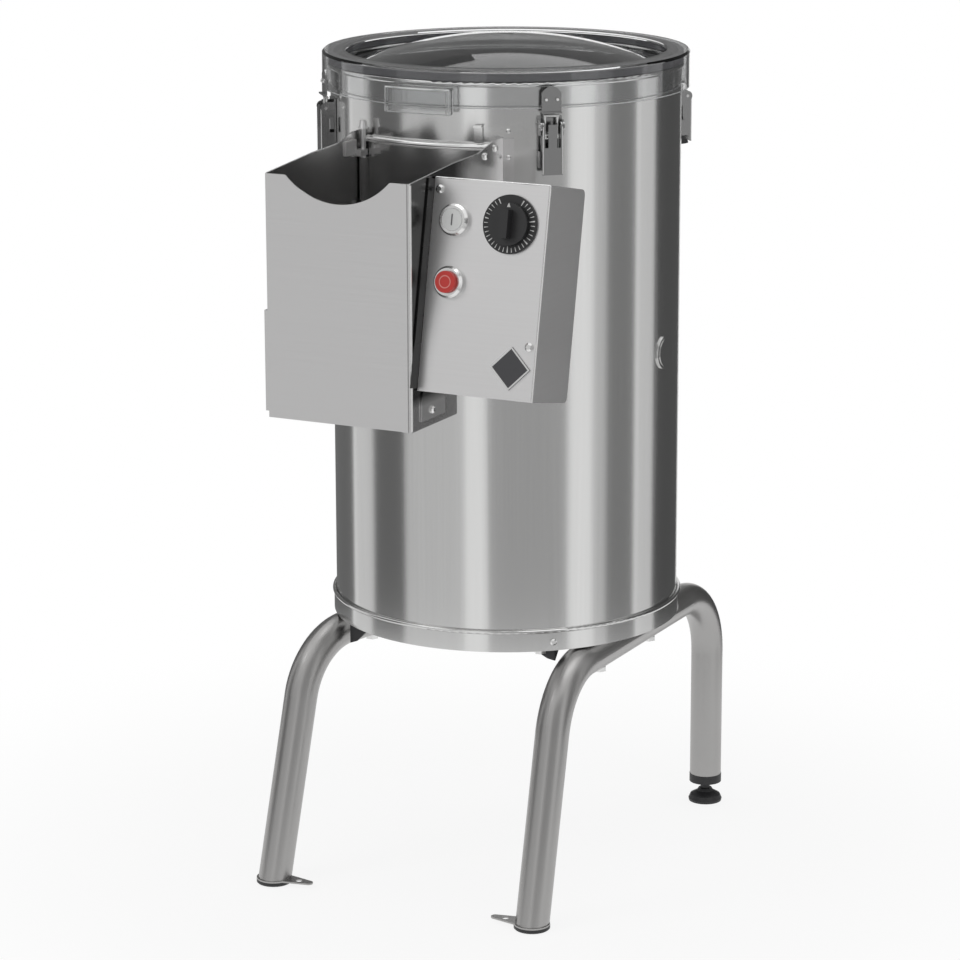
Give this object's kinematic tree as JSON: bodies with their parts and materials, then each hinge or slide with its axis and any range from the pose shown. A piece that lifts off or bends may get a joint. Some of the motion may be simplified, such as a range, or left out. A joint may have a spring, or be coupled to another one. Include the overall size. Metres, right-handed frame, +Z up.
{
  "type": "electric potato peeler",
  "caption": "Floor-standing drum potato peeler with a clamped clear lid, front discharge chute, control box with timer, abrasive disc and tube stand.",
  "frame": {"origin": "middle of the machine's outline in plan, on the floor", "axes": "+Z up, -Y towards the discharge chute, +X towards the control box's side"},
  "size_m": [0.3788, 0.5833, 0.8477],
  "materials": {
    "satin_steel": "vertically brushed satin stainless sheet",
    "panel_steel": "fine satin stainless sheet",
    "tube_steel": "matt silver-grey tube",
    "bright_steel": "bright polished steel",
    "cast_grey": "cast aluminium",
    "machine_steel": "turned steel",
    "dark_steel": "dark enamel",
    "abrasive": "coarse carborundum grit",
    "black_rubber": "matt rubber",
    "grey_rubber": "grey sealing rubber",
    "black_plastic": "moulded black plastic",
    "dial_black": "black dial with plain white graduations",
    "knob_black": "black knob with a white pointer",
    "grey_plastic": "grey moulded plastic",
    "clear_plastic": "clear polycarbonate",
    "white_button": "white cap with a plain bar mark",
    "red_button": "red cap with a pale ring",
    "badge": "bare dark plate with a bright edge"
  },
  "bodies": {
    "machine": {"drum_shell": "satin_steel", "base_ring": "satin_steel", "rim_gasket": "grey_rubber", "abrasive_liner": "abrasive", "chamber_floor": "satin_steel", "bearing_housing": "cast_grey", "bearings": "machine_steel", "shaft_seal": "black_rubber", "motor_plate": "machine_steel", "motor_housing": "dark_steel", "terminal_box": "black_plastic", "drive_belt": "black_rubber", "bottom_cover": "satin_steel", "drain_outlet": "satin_steel", "inlet_plate": "bright_steel", "inlet_elbow": "black_plastic", "side_plug": "satin_steel", "cable_gland": "black_plastic", "chute": "panel_steel", "panel_screws": "bright_steel", "hinge_bracket": "panel_steel", "door_seal": "grey_rubber", "box_bracket": "panel_steel", "box_back": "panel_steel", "box_cover": "panel_steel", "badge_plate": "badge", "button_bezels": "bright_steel", "contact_blocks": "grey_plastic", "timer_dial": "dial_black", "timer_body": "grey_plastic", "wire_conduit": "black_plastic", "latch_bases": "bright_steel", "latch_pins": "bright_steel", "stand_right": "tube_steel", "stand_left": "tube_steel", "stand_bolts": "bright_steel", "tube_plugs": "black_plastic", "floor_tabs": "bright_steel"},
    "disc": {"main_shaft": "machine_steel", "peeling_disc": "abrasive", "disc_nut": "bright_steel", "large_pulley": "cast_grey"},
    "rotor": {"motor_shaft": "machine_steel", "small_pulley": "cast_grey"},
    "lid": {"lid_shell": "clear_plastic", "lid_grip": "clear_plastic", "lid_strikes": "bright_steel"},
    "door": {"discharge_door": "panel_steel"},
    "start": {"start_button": "white_button"},
    "stop": {"stop_button": "red_button"},
    "timer": {"timer_knob": "knob_black"},
    "foot": {"levelling_foot": "black_plastic"},
    "lever_1": {"latch_lever_1": "bright_steel"},
    "bail_1": {"latch_bail_1": "bright_steel"},
    "lever_2": {"latch_lever_2": "bright_steel"},
    "bail_2": {"latch_bail_2": "bright_steel"},
    "lever_3": {"latch_lever_3": "bright_steel"},
    "bail_3": {"latch_bail_3": "bright_steel"},
    "lever_4": {"latch_lever_4": "bright_steel"},
    "bail_4": {"latch_bail_4": "bright_steel"}
  },
  "joints": [
    {"name": "disc_spin", "type": "hinge", "parent": "machine", "child": "disc", "pos_m": [-0.0064, 0.05965, 0.56], "axis": [0, 0, 1], "continuous": true},
    {"name": "rotor_spin", "type": "hinge", "parent": "machine", "child": "rotor", "pos_m": [0.0456, -0.01435, 0.4], "axis": [0, 0, 1], "continuous": true},
    {"name": "lid_lift", "type": "slide", "parent": "machine", "child": "lid", "axis": [0, 0, 1], "range_m": [0, 0.2]},
    {"name": "door_swing", "type": "hinge", "parent": "machine", "child": "door", "pos_m": [-0.0759, -0.11035, 0.67], "axis": [0, 0, -1], "range_deg": [0, 72]},
    {"name": "start_press", "type": "slide", "parent": "machine", "child": "start", "axis": [0, 0.9803, -0.1977], "range_m": [0, 0.004], "stiffness_N_per_m": 400},
    {"name": "stop_press", "type": "slide", "parent": "machine", "child": "stop", "axis": [0, 0.9803, -0.1977], "range_m": [0, 0.004], "stiffness_N_per_m": 400},
    {"name": "timer_turn", "type": "hinge", "parent": "machine", "child": "timer", "pos_m": [0.1519, -0.24886, 0.71575], "axis": [0, 0.9803, -0.1977], "range_deg": [0, 300]},
    {"name": "foot_screw", "type": "slide", "parent": "machine", "child": "foot", "axis": [0, 0, 1], "range_m": [-0.006, 0.006]},
    {"name": "lever_1_swing", "type": "hinge", "parent": "machine", "child": "lever_1", "pos_m": [0.11252, -0.08207, 0.781], "axis": [-0.766, -0.6428, 0], "range_deg": [0, 130]},
    {"name": "bail_1_swing", "type": "hinge", "parent": "lever_1", "child": "bail_1", "pos_m": [0.11123, -0.08054, 0.771], "axis": [-0.766, -0.6428, 0], "range_deg": [-130, 0]},
    {"name": "lever_2_swing", "type": "hinge", "parent": "machine", "child": "lever_2", "pos_m": [0.13532, 0.17857, 0.781], "axis": [0.6428, -0.766, 0], "range_deg": [0, 130]},
    {"name": "bail_2_swing", "type": "hinge", "parent": "lever_2", "child": "bail_2", "pos_m": [0.13379, 0.17728, 0.771], "axis": [0.6428, -0.766, 0], "range_deg": [-130, 0]},
    {"name": "lever_3_swing", "type": "hinge", "parent": "machine", "child": "lever_3", "pos_m": [-0.12532, 0.20137, 0.781], "axis": [0.766, 0.6428, 0], "range_deg": [0, 130]},
    {"name": "bail_3_swing", "type": "hinge", "parent": "lever_3", "child": "bail_3", "pos_m": [-0.12403, 0.19984, 0.771], "axis": [0.766, 0.6428, 0], "range_deg": [-130, 0]},
    {"name": "lever_4_swing", "type": "hinge", "parent": "machine", "child": "lever_4", "pos_m": [-0.14812, -0.05927, 0.781], "axis": [-0.6428, 0.766, 0], "range_deg": [0, 130]},
    {"name": "bail_4_swing", "type": "hinge", "parent": "lever_4", "child": "bail_4", "pos_m": [-0.14659, -0.05798, 0.771], "axis": [-0.6428, 0.766, 0], "range_deg": [-130, 0]}
  ],
  "couplings": [
    {"joint": "rotor_spin", "follows": "disc_spin", "ratio": 3.875},
    {"joint": "bail_1_swing", "follows": "lever_1_swing", "ratio": -1},
    {"joint": "bail_2_swing", "follows": "lever_2_swing", "ratio": -1},
    {"joint": "bail_3_swing", "follows": "lever_3_swing", "ratio": -1},
    {"joint": "bail_4_swing", "follows": "lever_4_swing", "ratio": -1}
  ]
}
